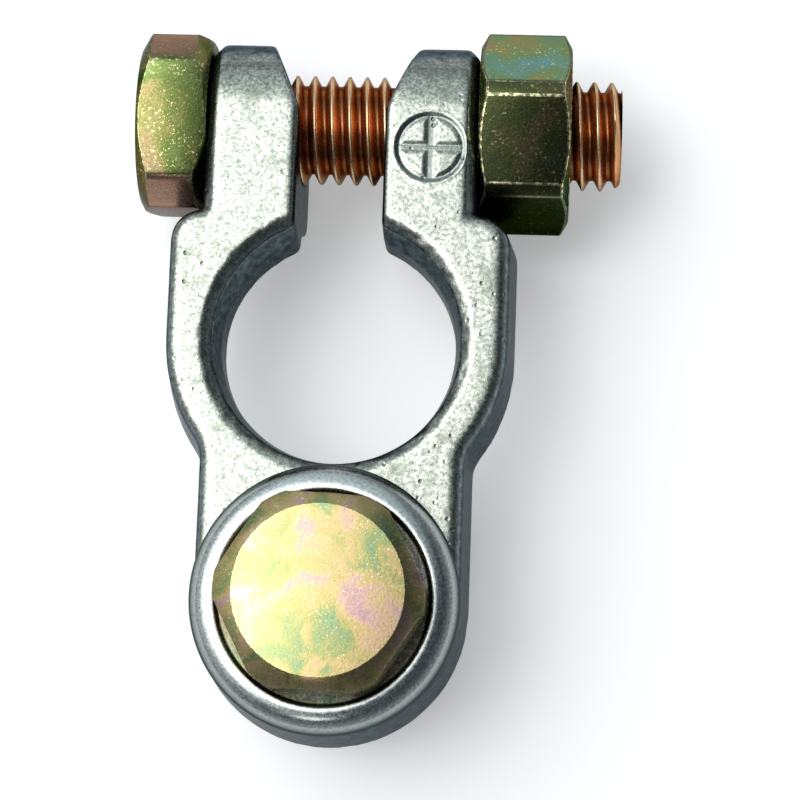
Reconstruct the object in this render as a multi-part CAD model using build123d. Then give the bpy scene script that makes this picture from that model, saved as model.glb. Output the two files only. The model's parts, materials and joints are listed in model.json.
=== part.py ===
from build123d import *
import os
from math import radians, sqrt, tan

# Battery terminal clamp with a cross bolt and a cable bolt.
#
# Frame, in millimetres: the origin is on the axis of the post bore, in the plane of the ring's
# underside. +Z points up the bore, +Y towards the two clamping ears, and +X along the clamp bolt
# from its head to its nut. The cable tail runs along -Y.

# ---------------------------------------------------------------- driving dimensions
# Cast clamp body: ring and cable tail
plate_height = 7.0             # ring and tail, underside to top face
ring_radius = 12.4             # outside of the ring at its underside
tail_half_width = 9.65         # tail at its underside, also the radius of its round end
cable_bolt_y = -18.1           # cable bolt axis, which the end of the tail is concentric with
casting_draft = 5.0            # degrees, outer walls of the ring and tail
waist_fillet = 2.2             # in plan, where the ring meets the tail
shoulder_corner = 2.2          # in plan, outer corners of the shoulders
top_rounding = 0.9             # along the outer top edges

# Post bore
land_radius = 8.2              # straight land that grips the post
land_height = 3.6              # from the underside up
mouth_radius = 8.68            # wide end of the conical lead-in, before its edge is broken

# Clamping ears
ear_thickness = 6.53           # each ear, along the clamp bolt
slot_width = 6.04              # gap between the ears
ear_middle_x = -0.17           # middle of the slot, a little off the bore axis
ear_end_radius = 6.0           # full-round ends, concentric with the clamp bolt
clamp_bolt_y = 16.4            # clamp bolt axis, from the bore axis
ear_root_y = 9.9               # where the deep part of the ears starts, at its underside
ear_root_slope = 14.0          # degrees, back face of the deep part
ear_root_fillet = 1.2          # from the back face of the ears to the ring's underside
ear_heel_fillet = 1.2          # from that face to the underside of the ears
ear_chamfer = 0.75             # round the outer faces of the ears
nut_swing_clearance = 0.12     # between the nut's corners and the shoulder beside the ear
tip_cut_start = 0.2            # slanted cut in the slot's mouth: where it starts, past the bolt axis
tip_cut_width = 2.3            # and how far it has cut into each ear at the tip
mouth_chamfer = 0.3            # top edges of the bore and the slot
slot_corner = 0.55             # in plan, where the slot opens into the bore

# Cast cross mark, a generic relief in the top of the ear on the nut's side
mark_radius = 2.6
mark_depth = 0.35
mark_bar = 0.6                 # width of the sunk cross
mark_rim = 0.35                # sunk ring between the four pads and the ear
mark_offset_y = -2.6           # from the clamp bolt axis

# Bolts, M8 with plain cylinders at the crest of the thread
thread_radius = 3.9
thread_chamfer = 0.9
hole_clearance = 0.08          # radial, smooth hole round a bolt
thread_clearance = 0.05        # radial, tapped hole round a bolt

# Clamp bolt: square head with cut corners
clamp_head_flats = 12.3        # across flats
clamp_head_corner = 2.8        # length of each cut corner
clamp_head_height = 5.0
clamp_head_rounding = 0.9      # upright edges
clamp_head_turn = 8.3          # degrees that the upper flat leans towards the ring
clamp_bolt_past_nut = 3.6      # thread left showing past the nut

# Hexagons of the nut and of the cable bolt's head
hex_flats = 12.9               # across flats
nut_height = 6.5
nut_corner_radius = 7.15       # corners are turned down to this
nut_turn = 17.5                # degrees that a flat leans towards the ring
end_chamfer_angle = 30.0       # degrees, turned chamfer on the ends of heads and nut
seat_circle_inset = 0.25       # how far inside the flats it starts on a seating face
clamp_head_circle_inset = 0.4  # the same on the outer end of the clamp bolt
cable_head_circle_inset = 0.75 # and on top of the cable bolt

# Cable bolt
cable_head_height = 5.3
cable_head_corner_radius = 7.0  # corners are turned down to this
cable_head_turn = -2.5         # degrees
cable_bolt_length = 16.0       # under the head

# Cap washer under the cable bolt's head
cap_radius = 9.2               # lower edge of the rim
cap_edge_height = 0.95         # of that lower edge above the tail
cap_foot_radius = 7.7          # flat underside that stands on the tail
cap_crest_radius = 7.5         # top of the rolled rim
cap_crest_height = 2.7
cap_rim_radius = 1.8           # of the rim's outside, from its lower edge to its crest
cap_seat_height = 2.3          # flat seat for the bolt head
cap_seat_radius = 7.1

# ---------------------------------------------------------------- derived places
clamp_bolt_z = plate_height - ear_end_radius
ear_bottom = clamp_bolt_z - ear_end_radius
slot_left = ear_middle_x - slot_width / 2
slot_right = ear_middle_x + slot_width / 2
ear_left = slot_left - ear_thickness
ear_right = slot_right + ear_thickness
ear_tip_y = clamp_bolt_y + ear_end_radius
waist_y = -sqrt(ring_radius**2 - tail_half_width**2)
shoulder_y = clamp_bolt_y - nut_corner_radius - nut_swing_clearance
nut_end_x = ear_right + nut_height
clamp_bolt_end_x = nut_end_x + clamp_bolt_past_nut
past_all = 4 * (ring_radius + ear_tip_y)      # a length that reaches past the whole body


def along_x(section):
    """Plane for a section across X: its first axis is +Y, its second +Z."""
    return Plane(origin=(section, 0, 0), x_dir=(0, 1, 0), z_dir=(1, 0, 0))


def ring_and_tail():
    """Drafted plate: the ring, its square shoulders and the round-ended cable tail."""
    with BuildPart() as plate:
        with BuildSketch() as outline:
            Circle(ring_radius)
            with Locations((0, ear_tip_y / 2)):
                Rectangle(2 * ring_radius, ear_tip_y)
            with Locations((0, cable_bolt_y / 2)):
                Rectangle(2 * tail_half_width, -cable_bolt_y)
            with Locations((0, cable_bolt_y)):
                Circle(tail_half_width)
            waist = outline.vertices().sort_by_distance((0, waist_y, 0))[:2]
            fillet(waist, waist_fillet)
        extrude(amount=plate_height, taper=casting_draft)
        with Locations((0, shoulder_y)):
            from_shoulder = (Align.CENTER, Align.MIN, Align.CENTER)
            Box(past_all, past_all, past_all, align=from_shoulder, mode=Mode.SUBTRACT)
        shoulder = plate.faces().sort_by(Axis.Y)[-1]
        fillet(shoulder.edges().sort_by(Axis.X)[0], shoulder_corner)
        shoulder = plate.faces().filter_by(Plane.XZ).sort_by(Axis.Y)[-1]
        fillet(shoulder.edges().sort_by(Axis.X)[-1], shoulder_corner)
        fillet(plate.faces().sort_by(Axis.Z)[-1].edges(), top_rounding)
    return plate.part


def ear_block():
    """Both ears as one block, before the slot: a side profile drawn along the clamp bolt."""
    root_top_y = ear_root_y + ear_bottom * tan(radians(ear_root_slope))
    with BuildPart() as block:
        with BuildSketch(along_x(ear_left)):
            with BuildLine():
                Polyline(
                    (clamp_bolt_y, plate_height),
                    (0, plate_height),
                    (0, 0),
                    (root_top_y, 0),
                    (ear_root_y, ear_bottom),
                    (clamp_bolt_y, ear_bottom),
                )
                RadiusArc((clamp_bolt_y, ear_bottom), (clamp_bolt_y, plate_height), -ear_end_radius)
            make_face()
        extrude(amount=ear_right - ear_left)
        across = block.edges().filter_by(Axis.X)
        root = across.sort_by_distance((ear_middle_x, root_top_y, 0))[0]
        fillet(root, ear_root_fillet)
        across = block.edges().filter_by(Axis.X)
        heel = across.sort_by_distance((ear_middle_x, ear_root_y, ear_bottom))[0]
        fillet(heel, ear_heel_fillet)
        outer_faces = block.faces().filter_by(Axis.X)
        chamfer(outer_faces.edges(), ear_chamfer)
    return block.part


def post_bore():
    """Cutter for the bore: a straight land below and a conical lead-in up to the mouth."""
    with BuildPart() as cutter:
        with BuildSketch(Plane.XZ):
            with BuildLine():
                Polyline(
                    (0, -plate_height),
                    (land_radius, -plate_height),
                    (land_radius, land_height),
                    (mouth_radius, plate_height),
                    (mouth_radius, 2 * plate_height),
                    (0, 2 * plate_height),
                    close=True,
                )
            make_face()
        revolve(axis=Axis.Z)
    return cutter.part


def ear_slot():
    """Cutter for the gap between the ears, with its mouth opened out by slanted cuts."""
    cut_start_y = clamp_bolt_y + tip_cut_start
    mouth_y = ear_tip_y + tip_cut_width
    spread = tip_cut_width * (mouth_y - cut_start_y) / (ear_tip_y - cut_start_y)
    with BuildPart() as cutter:
        with BuildSketch(Plane.XY.offset(-past_all)):
            with BuildLine():
                Polyline(
                    (slot_left, 0),
                    (slot_left, cut_start_y),
                    (slot_left - spread, mouth_y),
                    (slot_right + spread, mouth_y),
                    (slot_right, cut_start_y),
                    (slot_right, 0),
                    close=True,
                )
            make_face()
        extrude(amount=2 * past_all)
    return cutter.part


def cross_mark():
    """Cutter for the sunk mark: a ring and a plus between four low pads."""
    with BuildPart() as cutter:
        with BuildSketch():
            Circle(mark_radius)
            Circle(mark_radius - mark_rim, mode=Mode.SUBTRACT)
            Rectangle(2 * mark_radius - mark_rim, mark_bar)
            Rectangle(mark_bar, 2 * mark_radius - mark_rim)
        extrude(amount=2 * mark_depth)
    middle_x = (slot_right + ear_right) / 2
    return Pos(middle_x, clamp_bolt_y + mark_offset_y, plate_height - mark_depth) * cutter.part


def bolt_hole(radius, length):
    """Round cutter that stands on its lower end."""
    return Cylinder(radius, length, align=(Align.CENTER, Align.CENTER, Align.MIN))


def at_clamp_bolt(along):
    """Place on the clamp bolt's axis whose own Z runs along +X."""
    return Location(Plane(origin=(along, clamp_bolt_y, clamp_bolt_z), x_dir=(0, 1, 0), z_dir=(1, 0, 0)))


def at_cable_bolt(height):
    """Place on the cable bolt's axis, upright."""
    return Pos(0, cable_bolt_y, height)


def rises(edge):
    """True for an edge of the slot's walls that stands up."""
    size = edge.bounding_box().size
    return size.Z > size.Y


def slot_corners(body):
    """Upright edges where the slot opens into the bore, two on each side."""
    walls = body.faces().filter_by(Axis.X)
    walls = [wall for wall in walls if abs(wall.center().X - ear_middle_x) < slot_width]
    return [edge for wall in walls for edge in wall.edges().filter_by(rises).sort_by(Axis.Y)[:2]]


def is_inside(edge):
    """True for the bore's and the slot's own edges in the top face."""
    middle = edge.center()
    return abs(middle.X) < slot_width and waist_y - mouth_radius < middle.Y < clamp_bolt_y


def build_clamp_body():
    """One casting: ring, tail and ears, with the bore, the slot and the two bolt holes."""
    body = ring_and_tail() + ear_block() - post_bore() - ear_slot()
    body = fillet(slot_corners(body), slot_corner)
    top_edges = body.faces().sort_by(Axis.Z)[-1].edges()
    body = chamfer([edge for edge in top_edges if is_inside(edge)], mouth_chamfer)
    clamp_hole = bolt_hole(thread_radius + hole_clearance, past_all)
    cable_hole = bolt_hole(thread_radius + thread_clearance, past_all)
    body = body - at_clamp_bolt(-past_all / 2) * clamp_hole - at_cable_bolt(-past_all / 2) * cable_hole
    return body - cross_mark()


def cut_corner_square():
    """Outline of the clamp bolt's head: a square with cut and rounded corners."""
    outline = Rectangle(clamp_head_flats, clamp_head_flats)
    outline = chamfer(outline.vertices(), clamp_head_corner / sqrt(2))
    return fillet(outline.vertices(), clamp_head_rounding)


def turned_blank(height, corner_radius, outer_circle, seat_circle):
    """Round blank with a turned bevel on each end, standing on its seating face."""
    slope = tan(radians(end_chamfer_angle))
    profile = Polyline(
        (0, 0),
        (seat_circle, 0),
        (corner_radius, (corner_radius - seat_circle) * slope),
        (corner_radius, height - (corner_radius - outer_circle) * slope),
        (outer_circle, height),
        (0, height),
        close=True,
    )
    return revolve(Plane.XZ * make_face(profile), Axis.Z)


def hexagon(height, corner_radius, outer_circle):
    """Nut or bolt head with six flats and corners turned down by its round blank."""
    seat_circle = hex_flats / 2 - seat_circle_inset
    outline = RegularPolygon(hex_flats / 2, 6, major_radius=False)
    return extrude(outline, height) & turned_blank(height, corner_radius, outer_circle, seat_circle)


def threaded_shank(length):
    """Plain shank at the crest of the thread, hanging down from z = 0, with a chamfered end."""
    shank = Pos(0, 0, -length) * bolt_hole(thread_radius, length)
    return chamfer(shank.edges().sort_by(Axis.Z)[0], thread_chamfer)


def build_clamp_bolt():
    """Cross bolt: its head bears on the left ear, its end stands out past the nut."""
    half = clamp_head_flats / 2
    corner_radius = sqrt(half**2 + (half - clamp_head_corner / sqrt(2))**2)
    outer_circle = half - clamp_head_circle_inset
    blank = turned_blank(clamp_head_height, corner_radius, outer_circle, half - seat_circle_inset)
    head = extrude(cut_corner_square(), clamp_head_height) & blank
    bolt = head + threaded_shank(clamp_bolt_end_x - ear_left)
    return at_clamp_bolt(ear_left) * Rot(Y=180) * Rot(Z=-clamp_head_turn) * bolt


def build_clamp_nut():
    """Hexagon nut that bears on the right ear."""
    nut = hexagon(nut_height, nut_corner_radius, hex_flats / 2 - seat_circle_inset)
    nut = nut - Pos(0, 0, -nut_height) * bolt_hole(thread_radius + thread_clearance, 3 * nut_height)
    return at_clamp_bolt(ear_right) * Rot(Z=nut_turn) * nut


def build_cable_bolt():
    """Bolt that clamps the cable: hexagon head on the cap, thread in the tail."""
    head = hexagon(cable_head_height, cable_head_corner_radius, hex_flats / 2 - cable_head_circle_inset)
    bolt = head + threaded_shank(cable_bolt_length)
    return at_cable_bolt(plate_height + cap_seat_height) * Rot(Z=cable_head_turn) * bolt


def build_cable_cap():
    """Dished cap washer: flat foot, rolled rim and a sunk seat for the bolt's head."""
    hole_radius = thread_radius + hole_clearance
    edge = (cap_radius, cap_edge_height)
    crest = (cap_crest_radius, cap_crest_height)
    rim = RadiusArc(edge, crest, -cap_rim_radius)
    dish = Polyline(
        crest,
        (cap_seat_radius, cap_seat_height),
        (hole_radius, cap_seat_height),
        (hole_radius, 0),
        (cap_foot_radius, 0),
        edge,
    )
    return at_cable_bolt(plate_height) * revolve(Plane.XZ * make_face(rim + dish), Axis.Z)


nodes = {
    "clamp_body": build_clamp_body,
    "clamp_bolt": build_clamp_bolt,
    "clamp_nut": build_clamp_nut,
    "cable_cap": build_cable_cap,
    "cable_bolt": build_cable_bolt,
}

os.makedirs("parts", exist_ok=True)
for node_name, build in nodes.items():
    export_step(build(), f"parts/{node_name}.step")
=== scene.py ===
"""Dresses the battery terminal clamp: threads, rounded hardware, cast skin, studio floor and camera."""
import json
import math

import bmesh
import bpy
from mathutils import Matrix, Vector, noise


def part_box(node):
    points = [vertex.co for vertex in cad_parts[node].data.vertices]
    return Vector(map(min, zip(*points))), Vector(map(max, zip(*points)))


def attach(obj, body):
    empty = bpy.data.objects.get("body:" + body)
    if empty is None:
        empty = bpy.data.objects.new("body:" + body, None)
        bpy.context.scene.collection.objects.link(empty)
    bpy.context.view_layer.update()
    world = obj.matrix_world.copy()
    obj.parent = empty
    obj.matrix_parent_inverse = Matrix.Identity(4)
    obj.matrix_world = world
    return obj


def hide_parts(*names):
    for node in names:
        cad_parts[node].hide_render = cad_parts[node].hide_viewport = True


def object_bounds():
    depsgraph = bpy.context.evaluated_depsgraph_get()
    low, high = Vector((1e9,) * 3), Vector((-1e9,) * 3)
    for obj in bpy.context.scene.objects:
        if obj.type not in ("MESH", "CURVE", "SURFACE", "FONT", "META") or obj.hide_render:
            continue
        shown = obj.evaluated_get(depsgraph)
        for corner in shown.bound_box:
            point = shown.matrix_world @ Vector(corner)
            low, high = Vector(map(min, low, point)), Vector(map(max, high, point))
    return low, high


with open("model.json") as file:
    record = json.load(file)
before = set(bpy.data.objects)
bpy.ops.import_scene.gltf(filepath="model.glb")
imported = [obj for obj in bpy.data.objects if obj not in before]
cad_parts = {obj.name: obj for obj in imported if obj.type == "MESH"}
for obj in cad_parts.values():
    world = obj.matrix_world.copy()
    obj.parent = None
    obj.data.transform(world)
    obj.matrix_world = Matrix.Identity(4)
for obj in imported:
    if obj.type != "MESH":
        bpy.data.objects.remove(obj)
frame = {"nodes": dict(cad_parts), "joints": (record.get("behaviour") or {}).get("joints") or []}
cad_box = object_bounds()
MM = 0.001

# ---------------------------------------------------------------- sizes from the frame
NUT_LOW, NUT_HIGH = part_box("clamp_nut")
BOLT_LOW, BOLT_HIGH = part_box("clamp_bolt")
BODY_LOW, BODY_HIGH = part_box("clamp_body")
CAP_LOW, CAP_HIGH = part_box("cable_cap")
CABLE_BOLT_LOW, CABLE_BOLT_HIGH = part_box("cable_bolt")

JOINTS = {joint["name"]: joint for joint in frame["joints"]}
CLAMP_AXIS = Vector(JOINTS["clamp_nut_turn"]["pos_m"])
CABLE_AXIS = Vector(JOINTS["cable_bolt_turn"]["pos_m"])
PLATE_TOP = CAP_LOW.z

# Sizes repeated from the part
EAR_THICKNESS = 6.53 * MM
MARK_RADIUS = 2.6 * MM
MARK_DEPTH = 0.35 * MM
MARK_OFFSET_Y = -2.6 * MM
HEAD_HEIGHT = 5.0 * MM
SEAT_HEIGHT = 2.3 * MM
CAP_CREST = Vector((7.5, 2.7)) * MM
CAP_EDGE = Vector((9.2, 0.95)) * MM
CAP_FOOT_RADIUS = 7.7 * MM
CAP_RIM_RADIUS = 1.8 * MM
CAP_HOLE_RADIUS = 3.98 * MM

# M8 thread, in metres
PITCH = 1.25 * MM
CREST_RADIUS = 3.9 * MM
ROOT_RADIUS = 3.16 * MM
THREAD_CHAMFER = 0.5 * MM
CREST_AT_X = -3.82 * MM
CREST_SOFTENING = 0.012 * MM
ROOT_SOFTENING = 0.04 * MM

# Sizes of the dressing alone
THREAD_LEAD = 0.3 * MM
SEAT_PLAY = 0.012 * MM
SKIN_VOXEL = 0.205 * MM
SMOOTHING_ROUNDS = 10
CLAMP_HEAD_BEVEL = 0.13 * MM
CABLE_HEAD_BEVEL = 0.12 * MM
NUT_BEVEL = 0.20 * MM
CRISP_ANGLE = 32
MARK_REACH = 0.25 * MM
MARK_ZONE_DEPTH = 0.5 * MM

# Relief of the cast skin, in plain millimetres
SWELL_DEPTH = 0.020
RIPPLE_DEPTH = 0.012
RIM_RADIUS = 8.9
RIM_WEAR = 0.05
LIP_RADIUS = 9.42
LIP_WIDTH = 0.45
LIP_DEPTH = 0.17
NEAR_TOP = 6.3

# Floor: its paint, and how much of it glows to the camera, metal and glass
FLOOR_PAINT = (0.80, 0.80, 0.80, 1)
FLOOR_GLOW = 0.33


def mark_middle():
    return Vector((NUT_LOW.x - EAR_THICKNESS / 2, CLAMP_AXIS.y + MARK_OFFSET_Y, PLATE_TOP))


# ---------------------------------------------------------------- mesh helpers
def new_object(name, verts, faces):
    mesh = bpy.data.meshes.new(name)
    mesh.from_pydata([tuple(v) for v in verts], [], faces)
    mesh.validate()
    piece = bpy.data.objects.new(name, mesh)
    bpy.context.scene.collection.objects.link(piece)
    return piece


def apply_modifiers(piece):
    depsgraph = bpy.context.evaluated_depsgraph_get()
    mesh = bpy.data.meshes.new_from_object(piece.evaluated_get(depsgraph))
    piece.modifiers.clear()
    piece.data = mesh


def smooth_by_angle(piece, degrees):
    """Smooth shading with edges sharper than the angle kept crisp."""
    mesh = piece.data
    for polygon in mesh.polygons:
        polygon.use_smooth = True
    mesh.set_sharp_from_angle(angle=math.radians(degrees))


def join(pieces, name):
    """One object from several, in which each face keeps its material's index."""
    base = bmesh.new()
    for piece in pieces:
        base.from_mesh(piece.data)
    mesh = bpy.data.meshes.new(name)
    base.to_mesh(mesh)
    base.free()
    for piece in pieces:
        bpy.data.objects.remove(piece)
    joined = bpy.data.objects.new(name, mesh)
    bpy.context.scene.collection.objects.link(joined)
    return joined


def thread_radius(part_of_pitch):
    """Radius of a rounded 60 degree thread at a place within one pitch; 0 is the crest."""
    crest_half, root_half = 0.07, 0.13
    away = abs(part_of_pitch - round(part_of_pitch))
    if away <= crest_half:
        return CREST_RADIUS - CREST_SOFTENING * (away / crest_half)**2
    if away >= 0.5 - root_half:
        return ROOT_RADIUS + ROOT_SOFTENING * ((0.5 - away) / root_half)**2
    share = (away - crest_half) / (0.5 - root_half - crest_half)
    top = CREST_RADIUS - CREST_SOFTENING
    low = ROOT_RADIUS + ROOT_SOFTENING
    return top + (low - top) * share


def threaded_rod(name, start, end, crest_at, chamfer):
    """Right-hand threaded rod along +Z from start to end, with a chamfered far end and a closed near end."""
    around = 96
    profile = [0.0, 0.05, 0.09, 0.2, 0.3, 0.37, 0.43, 0.5, 0.57, 0.63, 0.7, 0.8, 0.91, 0.95]
    first_turn = int((start - crest_at) / PITCH) - 2
    last_turn = int((end - crest_at) / PITCH) + 2
    rows = [(turn + share) for turn in range(first_turn, last_turn) for share in profile]
    verts = []
    for column in range(around + 1):
        angle = 2 * math.pi * column / around
        for row in rows:
            along = crest_at + PITCH * (row + column / around)
            radius = thread_radius(row)
            limit = CREST_RADIUS - chamfer + max(0.0, end - along)
            radius = min(radius, limit)
            along = min(max(along, start), end)
            verts.append((radius * math.cos(angle), radius * math.sin(angle), along))
    count = len(rows)
    faces = []
    for column in range(around):
        for row in range(count - 1):
            low = column * count + row
            faces.append((low, low + count, low + count + 1, low + 1))
    middle_start = len(verts)
    verts += [(0, 0, start), (0, 0, end)]
    for column in range(around):
        faces.append((middle_start, (column + 1) * count, column * count))
        faces.append((middle_start + 1, column * count + count - 1, (column + 1) * count + count - 1))
    rod = new_object(name, verts, faces)
    cleaner = bmesh.new()
    cleaner.from_mesh(rod.data)
    bmesh.ops.remove_doubles(cleaner, verts=cleaner.verts, dist=0.0005 * MM)
    bmesh.ops.dissolve_degenerate(cleaner, edges=cleaner.edges, dist=0.0002 * MM)
    bmesh.ops.recalc_face_normals(cleaner, faces=cleaner.faces)
    cleaner.to_mesh(rod.data)
    cleaner.free()
    return rod


def crisp_copy(node, name, keep_plane, bevel):
    """Copy of a CAD node cut by a plane, with its flat faces merged and its edges softly bevelled."""
    source = frame["nodes"][node].data
    shape = bmesh.new()
    shape.from_mesh(source)
    bmesh.ops.remove_doubles(shape, verts=shape.verts, dist=0.001 * MM)
    if keep_plane:
        point, normal = keep_plane
        everything = shape.verts[:] + shape.edges[:] + shape.faces[:]
        bmesh.ops.bisect_plane(shape, geom=everything, plane_co=point, plane_no=normal, clear_inner=True)
        rim = [edge for edge in shape.edges if edge.is_boundary]
        bmesh.ops.holes_fill(shape, edges=rim)
    flat = math.radians(1.0)
    bmesh.ops.dissolve_limit(shape, angle_limit=flat, verts=shape.verts, edges=shape.edges)
    bmesh.ops.dissolve_degenerate(shape, edges=shape.edges, dist=0.004 * MM)
    mesh = bpy.data.meshes.new(name)
    shape.to_mesh(mesh)
    shape.free()
    copy = bpy.data.objects.new(name, mesh)
    bpy.context.scene.collection.objects.link(copy)
    mesh.materials.append(MATERIALS["pale"])
    mesh.materials.append(MATERIALS["wear_and_glint"])
    rounding = copy.modifiers.new("edges", "BEVEL")
    rounding.width = bevel
    rounding.segments = 3
    rounding.limit_method = "ANGLE"
    rounding.angle_limit = math.radians(22)
    rounding.use_clamp_overlap = True
    # Bevels take the edge colour: rubbed gold, partly painted glints.
    rounding.material = 1
    apply_modifiers(copy)
    return copy


# ---------------------------------------------------------------- shader helpers
class Nodes:
    """Short spellings for building one material's node tree, with places read in millimetres."""

    def __init__(self, name):
        self.material = bpy.data.materials.new(name)
        self.material.use_nodes = True
        self.tree = self.material.node_tree
        self.tree.nodes.clear()
        self.output = self.add("ShaderNodeOutputMaterial")
        self.shader = self.add("ShaderNodeBsdfPrincipled")
        self.link(self.shader.outputs[0], self.output.inputs[0])
        place = self.add("ShaderNodeTexCoord").outputs["Object"]
        scaled = self.add("ShaderNodeVectorMath", operation="SCALE")
        scaled.inputs["Scale"].default_value = 1 / MM
        self.link(place, scaled.inputs[0])
        self.place = scaled.outputs[0]

    def add(self, kind, **settings):
        node = self.tree.nodes.new(kind)
        for key, value in settings.items():
            setattr(node, key, value)
        return node

    def link(self, source, target):
        self.tree.links.new(source, target)

    def feed(self, target, value):
        if isinstance(value, bpy.types.NodeSocket):
            self.link(value, target)
        else:
            target.default_value = value

    def noise(self, per_mm, detail=3.0, rough=0.5, distort=0.0, place=None):
        node = self.add("ShaderNodeTexNoise")
        node.inputs["Scale"].default_value = per_mm
        node.inputs["Detail"].default_value = detail
        node.inputs["Roughness"].default_value = rough
        node.inputs["Distortion"].default_value = distort
        self.link(place or self.place, node.inputs["Vector"])
        return node.outputs["Fac"]

    def stretched(self, scales, shift=(0, 0, 0)):
        node = self.add("ShaderNodeMapping")
        node.inputs["Scale"].default_value = scales
        node.inputs["Location"].default_value = shift
        self.link(self.place, node.inputs["Vector"])
        return node.outputs[0]

    def ramp(self, value, stops):
        node = self.add("ShaderNodeValToRGB")
        elements = node.color_ramp.elements
        while len(elements) < len(stops):
            elements.new(0.5)
        for element, (at, color) in zip(elements, stops):
            element.position = at
            element.color = (*color, 1)
        self.link(value, node.inputs[0])
        return node.outputs[0]

    def span(self, value, low, high, to_low=0.0, to_high=1.0):
        node = self.add("ShaderNodeMapRange")
        node.inputs["From Min"].default_value = low
        node.inputs["From Max"].default_value = high
        node.inputs["To Min"].default_value = to_low
        node.inputs["To Max"].default_value = to_high
        self.link(value, node.inputs["Value"])
        return node.outputs[0]

    def mix(self, share, first, second, blend="MIX"):
        node = self.add("ShaderNodeMix", data_type="RGBA", blend_type=blend)
        self.feed(node.inputs[0], share)
        self.feed(node.inputs[6], first if isinstance(first, bpy.types.NodeSocket) else (*first, 1))
        self.feed(node.inputs[7], second if isinstance(second, bpy.types.NodeSocket) else (*second, 1))
        return node.outputs[2]

    def math(self, operation, first, second=0.0):
        node = self.add("ShaderNodeMath", operation=operation)
        self.feed(node.inputs[0], first)
        self.feed(node.inputs[1], second)
        return node.outputs[0]

    def bump(self, height, strength, distance, normal=None):
        node = self.add("ShaderNodeBump")
        node.inputs["Strength"].default_value = strength
        node.inputs["Distance"].default_value = distance
        self.link(height, node.inputs["Height"])
        if normal:
            self.link(normal, node.inputs["Normal"])
        return node.outputs[0]

    def facing(self, axis):
        """How far the surface faces along one of the piece's own axes."""
        parts = self.add("ShaderNodeSeparateXYZ")
        self.link(self.add("ShaderNodeTexCoord").outputs["Normal"], parts.inputs[0])
        return parts.outputs[axis]

    def from_axis(self, across, axis):
        """Distance in mm from a line; across is 1 for the two directions that count."""
        flat = self.add("ShaderNodeVectorMath", operation="MULTIPLY")
        self.link(self.place, flat.inputs[0])
        flat.inputs[1].default_value = across
        away = self.add("ShaderNodeVectorMath", operation="DISTANCE")
        self.link(flat.outputs[0], away.inputs[0])
        away.inputs[1].default_value = Vector(across) * Vector(axis) / MM
        return away.outputs["Value"]

    def centred(self, value, scale):
        """A noise value moved to swing about zero."""
        return self.math("MULTIPLY", self.math("SUBTRACT", value, 0.5), scale)

    def finish(self, color, roughness, normal=None, graze_shade=(0.30, 0.32, 0.33)):
        # A low Specular Tint darkens the metal's reflection at grazing angles. This is painted shade,
        # strongest on the cast walls.
        tint = self.shader.inputs["Specular Tint"]
        self.feed(tint, graze_shade if isinstance(graze_shade, bpy.types.NodeSocket) else (*graze_shade, 1))
        self.feed(self.shader.inputs["Base Color"], color)
        self.feed(self.shader.inputs["Roughness"], roughness)
        self.shader.inputs["Metallic"].default_value = 1.0
        if normal:
            self.link(normal, self.shader.inputs["Normal"])
        return self.material


def cast_alloy():
    """Tinned casting: bright mottled top, slate walls painted dark as shade, grey-green grains, dull patches,
    and pits painted darker as shade.
    """
    n = Nodes("cast_alloy")
    grain = n.noise(4.2, detail=4.0, rough=0.62, distort=0.3)
    fine = n.noise(11.0, detail=2.0, rough=0.5)
    patches = n.noise(0.50, detail=3.0, rough=0.6, distort=0.5)
    top = n.ramp(grain, [(0.32, (0.19, 0.22, 0.19)), (0.43, (0.30, 0.33, 0.28)), (0.53, (0.45, 0.47, 0.40)),
                         (0.68, (0.66, 0.66, 0.58))])
    top = n.mix(n.span(patches, 0.52, 0.68, 0.0, 0.6), top, (0.20, 0.22, 0.18))
    pits = n.add("ShaderNodeTexVoronoi", feature="F1")
    pits.inputs["Scale"].default_value = 1.1
    n.link(n.place, pits.inputs["Vector"])
    pit = n.span(pits.outputs["Distance"], 0.07, 0.19, 1.0, 0.0)
    pit = n.math("MULTIPLY", pit, n.span(patches, 0.44, 0.56))
    # Pits are also painted darker. This is painted shade in their hollows, on top of their bump.
    top = n.mix(n.math("MULTIPLY", pit, 0.75), top, (0.13, 0.15, 0.13))
    mottle = n.noise(1.0, detail=4.0, rough=0.6, place=n.stretched((1.9, 1.9, 1.2)))
    # The walls are painted dark slate. This is painted shade for the dark surroundings and shaded floor that
    # they reflect.
    wall = n.ramp(mottle, [(0.32, (0.08, 0.10, 0.11)), (0.5, (0.13, 0.155, 0.165)),
                           (0.68, (0.20, 0.23, 0.235))])
    # Faces turned up take the top colour; the rest take the painted wall shade.
    upward = n.math("ADD", n.facing("Z"), n.centred(grain, 0.25))
    top_over_wall_shade = n.span(upward, 0.66, 0.97)
    # The ring and grooves of the cross mark are painted grey. This is painted shade in the recesses.
    top = n.mix(mark_painted_shade(n), top, (0.20, 0.23, 0.21))
    color = n.mix(top_over_wall_shade, wall, top)
    rough = n.span(fine, 0.3, 0.7, 0.20, 0.33)
    normal = n.bump(n.math("ADD", grain, n.math("MULTIPLY", fine, 0.35)), 0.17, 0.05 * MM)
    normal = n.bump(n.math("MULTIPLY", pit, -1.0), 0.8, 0.05 * MM, normal)
    # The walls keep a low Specular Tint, which is painted shade on their grazing reflection. The top keeps a
    # near-white one.
    return n.finish(color, rough, normal, graze_shade=n.mix(top_over_wall_shade, (0.30, 0.32, 0.33), (0.95, 0.95, 0.95)))


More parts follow.
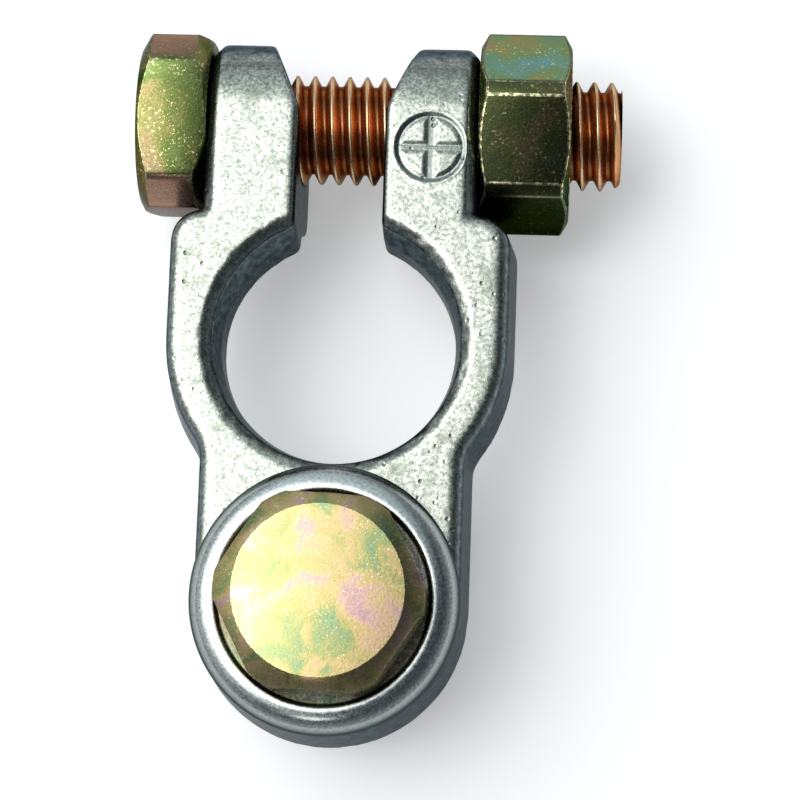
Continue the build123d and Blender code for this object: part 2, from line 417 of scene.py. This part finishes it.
def mark_painted_shade(n):
    """Share of grey painted shade in the ring and the grooves of the cross mark, by place on the right ear.
    """
    middle = mark_middle() / MM
    away = n.add("ShaderNodeVectorMath", operation="SUBTRACT")
    n.link(n.place, away.inputs[0])
    away.inputs[1].default_value = middle
    parts = n.add("ShaderNodeSeparateXYZ")
    n.link(away.outputs[0], parts.inputs[0])
    across = n.math("ABSOLUTE", parts.outputs["X"])
    along = n.math("ABSOLUTE", parts.outputs["Y"])
    square = n.math("ADD", n.math("MULTIPLY", across, across), n.math("MULTIPLY", along, along))
    radius = n.math("SQRT", square)
    upright = n.span(across, 0.16, 0.42, 1.0, 0.0)
    level = n.span(along, 0.10, 0.32, 1.0, 0.0)
    ring = n.span(radius, 2.0, 2.28)
    groove = n.math("MAXIMUM", ring, n.math("MAXIMUM", upright, level))
    near_top = n.span(parts.outputs["Z"], -1.0, -0.6)
    inside = n.math("MULTIPLY", n.span(radius, 2.45, 2.62, 1.0, 0.0), near_top)
    return n.math("MULTIPLY", n.math("MULTIPLY", groove, inside), 0.75)


def passivated(name, stops, tone_scale, shift=(0, 0, 0), specks_and_glints=(0.86, 0.78, 0.36), side_tone_and_shade=None, scuffs=0.30,
               upper_tone_and_light=None):
    """Yellow-passivated zinc: drifting interference colours, fine scuffs, and bright specks that are partly
    the plate's own flecks and partly painted glints.

    A side colour is laid along object Y, as (colour, share, from, to); one that starts above 0 covers both
    sides alike. On the head it is the thicker coat's pink-brown on the sides; on the nut it is a near-black
    painted shade on the facets that face -Y.
    The upper stops are the drift of the facets that look towards +Y: teal and pink tones, painted lighter
    than the rest as painted light.
    """
    n = Nodes(name)
    drift = n.noise(tone_scale, detail=2.5, rough=0.5, distort=0.8, place=n.stretched((1, 1, 1), shift))
    fine = n.noise(6.0, detail=3.0, rough=0.6)
    color = n.ramp(n.math("ADD", drift, n.centred(fine, 0.20)), stops)
    side = n.facing("Y")
    # The upper facets take teal and pink stops that are painted lighter. This is painted light.
    if upper_tone_and_light:
        broad = n.noise(0.26, detail=2.0, rough=0.45, distort=0.4)
        color = n.mix(n.span(side, 0.30, 0.55), color, n.ramp(broad, upper_tone_and_light))
    # Bright specks: partly the plate's own flecks, partly painted glints.
    flecks_and_glints = n.span(n.noise(5.0, detail=3.0, rough=0.6), 0.60, 0.67)
    gathered = n.span(n.noise(0.45, detail=2.0), 0.40, 0.56)
    color = n.mix(n.math("MULTIPLY", flecks_and_glints, n.math("MULTIPLY", gathered, 0.8)), color, specks_and_glints)
    # Side colour along object Y: the head's pink-brown tone, and on the nut a near-black painted shade on the
    # facets facing -Y.
    if side_tone_and_shade:
        side_tone_and_shade_color, share, start, full = side_tone_and_shade
        along = n.math("ABSOLUTE", side) if start > 0 else side
        color = n.mix(n.span(along, start, full, 0.0, share), color, side_tone_and_shade_color)
    rough = n.span(fine, 0.3, 0.7, 0.20, 0.33)
    normal = n.bump(fine, scuffs, 0.03 * MM)
    return n.finish(color, rough, normal)


HEAD_DRIFT = [(0.28, (0.24, 0.14, 0.11)), (0.38, (0.15, 0.14, 0.05)), (0.46, (0.075, 0.105, 0.028)),
              (0.54, (0.11, 0.145, 0.05)), (0.62, (0.18, 0.17, 0.07)), (0.72, (0.26, 0.16, 0.13))]
NUT_DRIFT = [(0.28, (0.08, 0.14, 0.12)), (0.38, (0.07, 0.085, 0.04)), (0.46, (0.065, 0.08, 0.03)),
             (0.54, (0.09, 0.10, 0.04)), (0.62, (0.13, 0.10, 0.06)), (0.72, (0.16, 0.10, 0.08))]
# Upper facets of the nut: teal and pink, painted lighter than the drift below as painted light.
NUT_UPPER_TONE_AND_LIGHT = [(0.30, (0.15, 0.30, 0.30)), (0.44, (0.17, 0.27, 0.14)), (0.54, (0.27, 0.25, 0.11)),
             (0.66, (0.32, 0.20, 0.18))]


def olive_head():
    """Green plate with gold drifts and pink-brown sides, on the clamp bolt's head."""
    return passivated("olive_head", HEAD_DRIFT, 0.13, side_tone_and_shade=((0.40, 0.22, 0.17), 0.75, 0.35, 0.62))


def olive_nut():
    """Dark olive plate on the nut: teal and pink on the upper facets, painted lighter there, and near-black
    painted shade on the lower ones.
    """
    # The near-black side colour on the facets facing -Y is painted shade.
    return passivated("olive_nut", NUT_DRIFT, 0.19, side_tone_and_shade=((0.030, 0.033, 0.014), 0.85, 0.0, -0.75),
                      upper_tone_and_light=NUT_UPPER_TONE_AND_LIGHT)


def pale_plate():
    """Pale yellow, green and pink plate on the cable bolt."""
    stops = [(0.28, (0.20, 0.29, 0.17)), (0.38, (0.27, 0.31, 0.13)), (0.46, (0.42, 0.35, 0.145)),
             (0.54, (0.50, 0.37, 0.18)), (0.62, (0.50, 0.33, 0.26)), (0.70, (0.42, 0.27, 0.28)),
             (0.80, (0.24, 0.32, 0.20))]
    # Its pale specks are partly painted glints.
    return passivated("pale_plate", stops, 0.36, (3.0, 1.0, 0.0), (0.78, 0.72, 0.55), scuffs=0.2)


def edge_wear_and_glint():
    """Edges rubbed through to brighter gold in dots and dashes, partly wear and partly painted glints,
    strongest on edges that face the front.
    """
    n = Nodes("edge_wear_and_glint")
    off_front = n.math("ABSOLUTE", n.math("ADD", n.facing("Y"), 0.12))
    rubbed_and_glint = n.span(n.noise(3.0, detail=3.0, rough=0.65), 0.45, 0.56)
    # Kept to edges that face the front and up. The gold there is partly a painted glint.
    rubbed_and_glint = n.math("MULTIPLY", rubbed_and_glint, n.span(off_front, 0.35, 0.60, 1.0, 0.1))
    color = n.mix(rubbed_and_glint, (0.13, 0.14, 0.09), (0.80, 0.72, 0.40))
    return n.finish(color, n.span(n.noise(8.0), 0.3, 0.7, 0.22, 0.36))


def copper_thread(name, across, axis):
    """Passivated thread: dark brown in its roots as painted shade, copper on its flanks, and crests painted
    paler as painted highlight.
    """
    n = Nodes(name)
    # Colour follows the distance from the axis: roots painted dark as shade, crests painted pale as
    # highlight. The end face is lifted off the root shade.
    radius = n.from_axis(across, axis)
    end_face = n.span(radius, 2.7, 3.05, 0.55, 0.0)
    height = n.math("MAXIMUM", n.span(radius, ROOT_RADIUS / MM, CREST_RADIUS / MM), end_face)
    fine = n.noise(8.0, detail=3.0)
    drift = n.noise(0.8, detail=3.0)
    shade_highlight_and_drift = n.math("ADD", height, n.centred(drift, 0.5))
    color = n.ramp(shade_highlight_and_drift, [(0.0, (0.21, 0.075, 0.03)), (0.30, (0.47, 0.18, 0.065)), (0.70, (0.68, 0.33, 0.15)),
                          (1.0, (0.74, 0.52, 0.32))])
    return n.finish(color, n.span(fine, 0.3, 0.7, 0.24, 0.38), n.bump(fine, 0.3, 0.02 * MM))


def bright_zinc():
    """Bright zinc on the pressed cap, with faint rings round the bolt and its sides painted dark as shade."""
    n = Nodes("bright_zinc")
    rings = n.add("ShaderNodeTexNoise", noise_dimensions="1D")
    rings.inputs["Scale"].default_value = 5.0
    n.link(n.from_axis((1, 1, 0), CABLE_AXIS), rings.inputs["W"])
    fine = n.noise(5.0, detail=4.0, rough=0.6)
    top = n.ramp(fine, [(0.3, (0.36, 0.40, 0.38)), (0.5, (0.52, 0.56, 0.54)), (0.7, (0.68, 0.70, 0.67))])
    # Faces turned away from up are painted dark slate. This is painted shade.
    color = n.mix(n.span(n.facing("Z"), 0.35, 0.85), (0.11, 0.13, 0.13), top)
    rough = n.span(fine, 0.3, 0.7, 0.18, 0.30)
    normal = n.bump(rings.outputs["Fac"], 0.22, 0.03 * MM)
    return n.finish(color, rough, n.bump(fine, 0.22, 0.02 * MM, normal))


MATERIALS = {
    "cast": cast_alloy(),
    "olive_head": olive_head(),
    "olive_nut": olive_nut(),
    "pale": pale_plate(),
    "wear_and_glint": edge_wear_and_glint(),
    "cross_copper": copper_thread("cross_copper", (0, 1, 1), CLAMP_AXIS),
    "tail_copper": copper_thread("tail_copper", (1, 1, 0), CABLE_AXIS),
    "zinc": bright_zinc(),
}


def coat(piece, *names):
    """Gives a piece its materials, keeping which face has which."""
    chosen = [polygon.material_index for polygon in piece.data.polygons]
    piece.data.materials.clear()
    for name in names:
        piece.data.materials.append(MATERIALS[name])
    piece.data.polygons.foreach_set("material_index", chosen)


# ---------------------------------------------------------------- pieces
def mark_sink(away_x, away_y):
    """Depth of the cast cross mark at a place measured from its middle: four domed pads in a dish."""
    radius = math.hypot(away_x, away_y)
    wall = smooth_step((MARK_RADIUS - radius) / (0.40 * MM))
    upright_gap = abs(away_x) - 0.16 * MM
    level_gap = abs(away_y) - 0.10 * MM
    rim_gap = 2.28 * MM - radius
    pad = smooth_step(min(upright_gap, level_gap, rim_gap) / (0.42 * MM))
    rib = smooth_step(1 - abs(away_y) / (0.14 * MM)) * smooth_step(rim_gap / (0.2 * MM))
    return MARK_DEPTH * (0.40 * wall - 0.28 * pad - 0.12 * rib)


def smooth_step(share):
    share = min(max(share, 0.0), 1.0)
    return share * share * (3 - 2 * share)


def filled_mark_copy():
    """The casting's CAD mesh with the mark filled up, so that it can be cut again with soft forms."""
    shape = bmesh.new()
    shape.from_mesh(frame["nodes"]["clamp_body"].data)
    plug_height = 2 * MARK_DEPTH
    plug = bmesh.ops.create_cone(shape, cap_ends=True, segments=48, radius1=MARK_RADIUS + 0.02 * MM,
                                 radius2=MARK_RADIUS + 0.02 * MM, depth=plug_height)
    lift = Vector((0, 0, -plug_height / 2 - 0.01 * MM))
    bmesh.ops.translate(shape, verts=plug["verts"], vec=mark_middle() + lift)
    mesh = bpy.data.meshes.new("cast_body")
    shape.to_mesh(mesh)
    shape.free()
    casting = bpy.data.objects.new("cast_body", mesh)
    bpy.context.scene.collection.objects.link(casting)
    return casting


def dress_clamp_body():
    """The casting as one even skin: soft edges, a slightly uneven surface and the domed mark."""
    casting = filled_mark_copy()
    skin = casting.modifiers.new("skin", "REMESH")
    skin.mode = "VOXEL"
    skin.voxel_size = SKIN_VOXEL
    skin.use_smooth_shade = True
    soften = casting.modifiers.new("soften", "SMOOTH")
    soften.factor = 0.5
    soften.iterations = SMOOTHING_ROUNDS
    apply_modifiers(casting)
    middle = mark_middle()
    shape = bmesh.new()
    shape.from_mesh(casting.data)
    fine_edges = [edge for edge in shape.edges if near_mark(edge, middle)]
    bmesh.ops.subdivide_edges(shape, edges=fine_edges, cuts=2, use_grid_fill=True)
    shape.normal_update()
    moves = [skin_offset(vert, middle) for vert in shape.verts]
    for vert, move in zip(shape.verts, moves):
        vert.co += move
        for axis in range(3):
            vert.co[axis] = min(max(vert.co[axis], BODY_LOW[axis]), BODY_HIGH[axis])
    shape.to_mesh(casting.data)
    shape.free()
    for polygon in casting.data.polygons:
        polygon.use_smooth = True
    coat(casting, "cast")
    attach(casting, "clamp_body")
    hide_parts("clamp_body")


def near_mark(edge, middle):
    place = (edge.verts[0].co + edge.verts[1].co) / 2
    return place.z > middle.z - MARK_ZONE_DEPTH and (place - middle).length < MARK_RADIUS + MARK_REACH


def skin_offset(vert, middle):
    """Inward wander of the cast skin, a worn lip round the bore's top edge, and the mark's own relief."""
    place = vert.co / MM
    swell = 0.5 + 0.5 * noise.noise(place * 0.45)
    ripple = 0.5 + 0.5 * noise.noise(place * 1.6 + Vector((7.0, 3.0, 1.0)))
    depth = SWELL_DEPTH * swell + RIPPLE_DEPTH * ripple
    from_axis = math.hypot(place.x, place.y)
    near_top = smooth_step((place.z - NEAR_TOP) / 0.5)
    on_rim = smooth_step(1 - abs(from_axis - RIM_RADIUS) / 0.55) * near_top
    depth += RIM_WEAR * on_rim * smooth_step(0.5 + 1.6 * noise.noise(place * 1.15))
    lip_edge = LIP_RADIUS + 0.16 * noise.noise(place * 1.3 + Vector((2.0, 9.0, 4.0)))
    lip = min(max((lip_edge - from_axis) / LIP_WIDTH, 0.0), 1.0) * near_top
    move = vert.normal * (-depth * MM) - Vector((0, 0, LIP_DEPTH * lip * MM))
    away = vert.co - middle
    if away.z > -MARK_ZONE_DEPTH and math.hypot(away.x, away.y) < MARK_RADIUS + 0.1 * MM:
        move = Vector((0, 0, -mark_sink(away.x, away.y)))
    return move


def dress_clamp_bolt():
    """Head from the frame, thread as a real right-hand helix that ends where the CAD shank ends."""
    seat_x = BOLT_LOW.x + HEAD_HEIGHT
    seat_plane = (Vector((seat_x, 0, 0)), Vector((-1, 0, 0)))
    head = crisp_copy("clamp_bolt", "bolt_head", seat_plane, CLAMP_HEAD_BEVEL)
    rod = threaded_rod("bolt_thread", seat_x - THREAD_LEAD, BOLT_HIGH.x, CREST_AT_X, THREAD_CHAMFER)
    turn = Matrix(((0, 0, 1, 0), (1, 0, 0, 0), (0, 1, 0, 0), (0, 0, 0, 1)))
    rod.data.transform(Matrix.Translation((0, CLAMP_AXIS.y, CLAMP_AXIS.z)) @ turn)
    for polygon in rod.data.polygons:
        polygon.material_index = 2
    bolt = join([head, rod], "cross_bolt")
    coat(bolt, "olive_head", "wear_and_glint", "cross_copper")
    smooth_by_angle(bolt, CRISP_ANGLE)
    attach(bolt, "clamp_bolt")
    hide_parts("clamp_bolt")


def dress_clamp_nut():
    nut = crisp_copy("clamp_nut", "cross_nut", None, NUT_BEVEL)
    coat(nut, "olive_nut", "wear_and_glint")
    smooth_by_angle(nut, CRISP_ANGLE)
    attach(nut, "clamp_nut")
    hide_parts("clamp_nut")


def dress_cable_bolt():
    seat_z = CAP_LOW.z + SEAT_HEIGHT
    seat_plane = (Vector((0, 0, seat_z)), Vector((0, 0, 1)))
    head = crisp_copy("cable_bolt", "tail_bolt_head", seat_plane, CABLE_HEAD_BEVEL)
    rod = threaded_rod("tail_bolt_thread", -seat_z - THREAD_LEAD, -CABLE_BOLT_LOW.z, 0.0, THREAD_CHAMFER)
    flip = Matrix(((1, 0, 0, 0), (0, -1, 0, 0), (0, 0, -1, 0), (0, 0, 0, 1)))
    rod.data.transform(Matrix.Translation((CABLE_AXIS.x, CABLE_AXIS.y, 0)) @ flip)
    for polygon in rod.data.polygons:
        polygon.material_index = 2
    bolt = join([head, rod], "tail_bolt")
    coat(bolt, "pale", "wear_and_glint", "tail_copper")
    smooth_by_angle(bolt, CRISP_ANGLE)
    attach(bolt, "cable_bolt")
    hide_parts("cable_bolt")


def cap_profile():
    """Section of the pressed cap, as (radius, height) above the tail, from the hole's foot to its top."""
    chord = CAP_CREST - CAP_EDGE
    half = chord.length / 2
    across = Vector((chord.y, -chord.x)).normalized()
    centre = (CAP_CREST + CAP_EDGE) / 2 - across * math.sqrt(CAP_RIM_RADIUS**2 - half**2)
    start = math.atan2(CAP_EDGE.y - centre.y, CAP_EDGE.x - centre.x)
    stop = math.atan2(CAP_CREST.y - centre.y, CAP_CREST.x - centre.x)
    points = [Vector((CAP_HOLE_RADIUS, 0)), Vector((CAP_FOOT_RADIUS, 0))]
    points += [Vector((8.5, 0.36)) * MM]
    for step in range(15):
        angle = start + (stop - start) * step / 14
        points.append(centre + CAP_RIM_RADIUS * Vector((math.cos(angle), math.sin(angle))))
    inner = [(7.38, 2.68), (7.29, 2.60), (7.22, 2.48), (7.17, 2.38), (7.11, 2.31), (7.04, 2.288)]
    points += [Vector(place) * MM for place in inner]
    points.append(Vector((CAP_HOLE_RADIUS, SEAT_HEIGHT - SEAT_PLAY)))
    return points


def dress_cable_cap():
    """The cap turned from its section, with a soft bead between the rolled rim and the seat."""
    around = 144
    section = cap_profile()
    verts = []
    for column in range(around):
        angle = 2 * math.pi * column / around
        for radius, height in section:
            place = (radius * math.cos(angle), radius * math.sin(angle), height)
            verts.append(Vector(place) + Vector((CABLE_AXIS.x, CABLE_AXIS.y, CAP_LOW.z)))
    count = len(section)
    faces = []
    for column in range(around):
        beside = (column + 1) % around
        for row in range(count):
            above = (row + 1) % count
            here = column * count
            there = beside * count
            faces.append((here + row, there + row, there + above, here + above))
    cap = new_object("pressed_cap", verts, faces)
    tidy = bmesh.new()
    tidy.from_mesh(cap.data)
    bmesh.ops.recalc_face_normals(tidy, faces=tidy.faces)
    tidy.to_mesh(cap.data)
    tidy.free()
    coat(cap, "zinc")
    smooth_by_angle(cap, CRISP_ANGLE)
    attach(cap, "cable_cap")
    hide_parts("cable_cap")


# ---------------------------------------------------------------- stage
def build_floor():
    """Pale floor under the lowest point, white to the camera and in reflections, keeping shadows."""
    half = 4.0
    level = cad_box[0][2]
    corners = [(-half, -half, level), (half, -half, level), (half, half, level), (-half, half, level)]
    floor = new_object("floor", corners, [(0, 1, 2, 3)])
    material = bpy.data.materials.new("floor_paint")
    material.use_nodes = True
    tree = material.node_tree
    tree.nodes.clear()
    output = tree.nodes.new("ShaderNodeOutputMaterial")
    paint = tree.nodes.new("ShaderNodeBsdfDiffuse")
    paint.inputs["Color"].default_value = FLOOR_PAINT
    glow = tree.nodes.new("ShaderNodeEmission")
    path = tree.nodes.new("ShaderNodeLightPath")
    seen = tree.nodes.new("ShaderNodeMath")
    seen.operation = "MAXIMUM"
    tree.links.new(path.outputs["Is Camera Ray"], seen.inputs[0])
    tree.links.new(path.outputs["Is Glossy Ray"], seen.inputs[1])
    clear = tree.nodes.new("ShaderNodeMath")
    clear.operation = "MAXIMUM"
    tree.links.new(seen.outputs[0], clear.inputs[0])
    tree.links.new(path.outputs["Is Transmission Ray"], clear.inputs[1])
    level_of_glow = tree.nodes.new("ShaderNodeMath")
    level_of_glow.operation = "MULTIPLY"
    level_of_glow.inputs[1].default_value = FLOOR_GLOW
    tree.links.new(clear.outputs[0], level_of_glow.inputs[0])
    tree.links.new(level_of_glow.outputs[0], glow.inputs["Strength"])
    both = tree.nodes.new("ShaderNodeAddShader")
    tree.links.new(paint.outputs[0], both.inputs[0])
    tree.links.new(glow.outputs[0], both.inputs[1])
    tree.links.new(both.outputs[0], output.inputs[0])
    floor.data.materials.append(material)


def build_world():
    """Studio air: dim walls, a paler horizon, a blue glow from behind the ears and a fill on the left."""
    world = bpy.data.worlds.new("studio")
    bpy.context.scene.world = world
    world.use_nodes = True
    tree = world.node_tree
    tree.nodes.clear()
    output = tree.nodes.new("ShaderNodeOutputWorld")
    place = tree.nodes.new("ShaderNodeTexCoord").outputs["Generated"]
    dark = tree.nodes.new("ShaderNodeBackground")
    dark.inputs["Color"].default_value = (0.06, 0.075, 0.09, 1)
    total = dark.outputs[0]
    glows = [
        ((-0.15, 0.66, 0.74), 0.68, 0.97, (0.62, 0.70, 0.74)),
        ((-0.62, 0.10, 0.78), 0.60, 0.98, (0.60, 0.62, 0.62)),
        ((0.0, 0.0, -1.0), -0.60, -0.22, (0.21, 0.22, 0.225)),
    ]
    for toward, edge, middle, color in glows:
        dot = tree.nodes.new("ShaderNodeVectorMath")
        dot.operation = "DOT_PRODUCT"
        tree.links.new(place, dot.inputs[0])
        dot.inputs[1].default_value = Vector(toward).normalized()
        rise = tree.nodes.new("ShaderNodeMapRange")
        rise.interpolation_type = "SMOOTHSTEP"
        rise.inputs["From Min"].default_value = edge
        rise.inputs["From Max"].default_value = middle
        tree.links.new(dot.outputs["Value"], rise.inputs["Value"])
        glow = tree.nodes.new("ShaderNodeBackground")
        glow.inputs["Color"].default_value = (*color, 1)
        tree.links.new(rise.outputs[0], glow.inputs["Strength"])
        both = tree.nodes.new("ShaderNodeAddShader")
        tree.links.new(total, both.inputs[0])
        tree.links.new(glow.outputs[0], both.inputs[1])
        total = both.outputs[0]
    tree.links.new(total, output.inputs[0])


# Name, direction it shines from, strength, spread in degrees
LAMPS = [
    ("key", (-0.51, 0.15, 1.0), 1.30, 57),
    ("core", (-0.38, 0.02, 1.0), 0.46, 22),
    ("rim", (-0.15, -0.95, 1.0), 0.10, 12),
]


def add_sun(name, toward, strength, spread):
    """Soft distant lamp that shines from the given direction."""
    lamp = bpy.data.lights.new(name, "SUN")
    lamp.energy = strength
    lamp.angle = math.radians(spread)
    holder = bpy.data.objects.new(name, lamp)
    holder.rotation_euler = Vector(toward).to_track_quat("Z", "Y").to_euler()
    bpy.context.scene.collection.objects.link(holder)


def build_camera():
    """Camera calibrated on the outline of the real part."""
    camera = bpy.data.cameras.new("camera")
    camera.sensor_width = 36.0
    camera.lens = 125.93
    camera.clip_start = 0.005
    camera.clip_end = 20.0
    holder = bpy.data.objects.new("camera", camera)
    right = Vector((0.9985993, 0.0345732, -0.0400510))
    up = Vector((-0.0273424, 0.9852735, 0.1687857))
    back = Vector((0.0452966, -0.1674542, 0.9848387))
    place = Vector((13.29, -36.27, 196.0)) * MM
    turn = Matrix((right, up, back)).transposed().to_4x4()
    holder.matrix_world = Matrix.Translation(place) @ turn
    bpy.context.scene.collection.objects.link(holder)
    bpy.context.scene.camera = holder


dress_clamp_body()
dress_clamp_bolt()
dress_clamp_nut()
dress_cable_bolt()
dress_cable_cap()
build_floor()
build_world()
for lamp_name, lamp_toward, lamp_strength, lamp_spread in LAMPS:
    add_sun(lamp_name, lamp_toward, lamp_strength, lamp_spread)
build_camera()
bpy.context.scene.view_settings.view_transform = "Standard"

bpy.context.view_layer.update()
